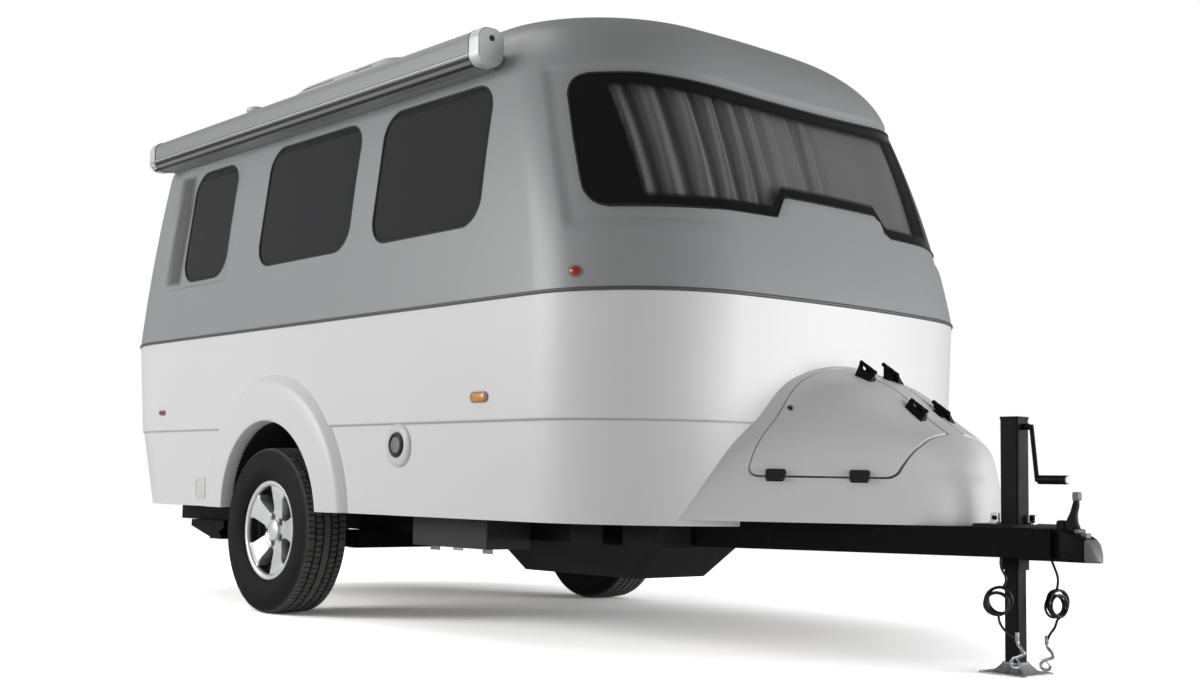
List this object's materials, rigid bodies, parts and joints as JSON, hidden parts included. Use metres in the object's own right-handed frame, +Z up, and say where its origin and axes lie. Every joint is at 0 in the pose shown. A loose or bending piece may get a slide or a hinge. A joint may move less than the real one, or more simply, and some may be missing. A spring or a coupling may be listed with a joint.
{
  "type": "travel caravan",
  "caption": "Hollow two-tone moulded travel caravan on one axle, with wide front window, hinged entry door, gull-wing front lids, awning case, A-frame drawbar, ball coupler and jack.",
  "frame": {"origin": "on the floor under the middle of the overall length, in the plane of symmetry", "axes": "+X forwards to the coupler, +Y to the left side, +Z up"},
  "size_m": [5.041, 2.0354, 2.6],
  "materials": {
    "shell_white": "gloss",
    "shell_grey": "gloss",
    "floor_board": "matt",
    "tub_black": "matt",
    "trim_grey": "satin",
    "tinted_glass": "gloss",
    "curtain_cloth": "matt",
    "tyre": "matt",
    "alloy": "machined",
    "dark_steel": "matt",
    "chassis_black": "satin",
    "zinc": "satin",
    "bottle_white": "gloss",
    "awning_metal": "satin",
    "plastic_white": "satin",
    "lamp_red": "gloss",
    "lamp_amber": "gloss",
    "tank_black": "matt",
    "cable_black": "satin"
  },
  "bodies": {
    "trailer": {"air_conditioner": "plastic_white", "awning_case": "awning_metal", "awning_rail": "awning_metal", "axle_beam": "chassis_black", "belt_trim": "trim_grey", "cable_coil_left": "cable_black", "cable_coil_right": "cable_black", "cable_hook_left": "zinc", "cable_hook_right": "zinc", "chassis_rail_left": "chassis_black", "chassis_rail_right": "chassis_black", "coupler": "chassis_black", "cross_members": "chassis_black", "door_hinges": "chassis_black", "drawbar_left": "chassis_black", "drawbar_right": "chassis_black", "fender_flare_left": "shell_white", "fender_flare_right": "shell_white", "floor_panel": "floor_board", "front_curtain": "curtain_cloth", "front_shroud": "shell_white", "front_window": "tinted_glass", "gas_bottles": "bottle_white", "gas_tray": "chassis_black", "jack_crank": "chassis_black", "jack_leg": "chassis_black", "jack_tube": "chassis_black", "lid_hardware": "chassis_black", "lower_shell": "shell_white", "outriggers": "chassis_black", "power_inlet": "plastic_white", "rear_window": "tinted_glass", "roof_vent": "plastic_white", "safety_cable_left": "cable_black", "safety_cable_right": "cable_black", "side_markers": "lamp_amber", "side_windows_left": "tinted_glass", "side_windows_right": "tinted_glass", "stabilisers": "chassis_black", "step_carrier": "chassis_black", "tail_lamps": "lamp_red", "torsion_arm_left": "chassis_black", "torsion_arm_right": "chassis_black", "upper_shell": "shell_grey", "utility_box": "tank_black", "water_tank": "tank_black", "wheel_tub_left": "tub_black", "wheel_tub_right": "tub_black"},
    "wheel_left": {"tyre_left": "tyre", "wheel_rim_left": "alloy", "brake_drum_left": "dark_steel"},
    "wheel_right": {"tyre_right": "tyre", "wheel_rim_right": "alloy", "brake_drum_right": "dark_steel"},
    "door": {"door_window": "tinted_glass", "entry_door": "shell_grey"},
    "lid_left": {"shroud_lid_left": "shell_white"},
    "lid_right": {"shroud_lid_right": "shell_white"},
    "step": {"entry_step": "chassis_black"}
  },
  "joints": [
    {"name": "wheel_left_spin", "type": "hinge", "parent": "trailer", "child": "wheel_left", "pos_m": [-0.735, 0.885, 0.344], "axis": [0, 1, 0], "continuous": true},
    {"name": "wheel_right_spin", "type": "hinge", "parent": "trailer", "child": "wheel_right", "pos_m": [-0.735, -0.885, 0.344], "axis": [0, 1, 0], "continuous": true},
    {"name": "entry_door_hinge", "type": "hinge", "parent": "trailer", "child": "door", "pos_m": [0.635, 0.993, 1.2], "axis": [0, 0.038, -0.9993], "range_deg": [0, 110]},
    {"name": "shroud_lid_left_hinge", "type": "hinge", "parent": "trailer", "child": "lid_left", "pos_m": [1.8, 0.06, 0.905], "axis": [0.8387, 0, -0.5446], "range_deg": [0, 75]},
    {"name": "shroud_lid_right_hinge", "type": "hinge", "parent": "trailer", "child": "lid_right", "pos_m": [1.8, -0.06, 0.905], "axis": [-0.8387, 0, 0.5446], "range_deg": [0, 75]},
    {"name": "entry_step_slide", "type": "slide", "parent": "trailer", "child": "step", "axis": [0, 1, 0], "range_m": [0, 0.22]}
  ]
}
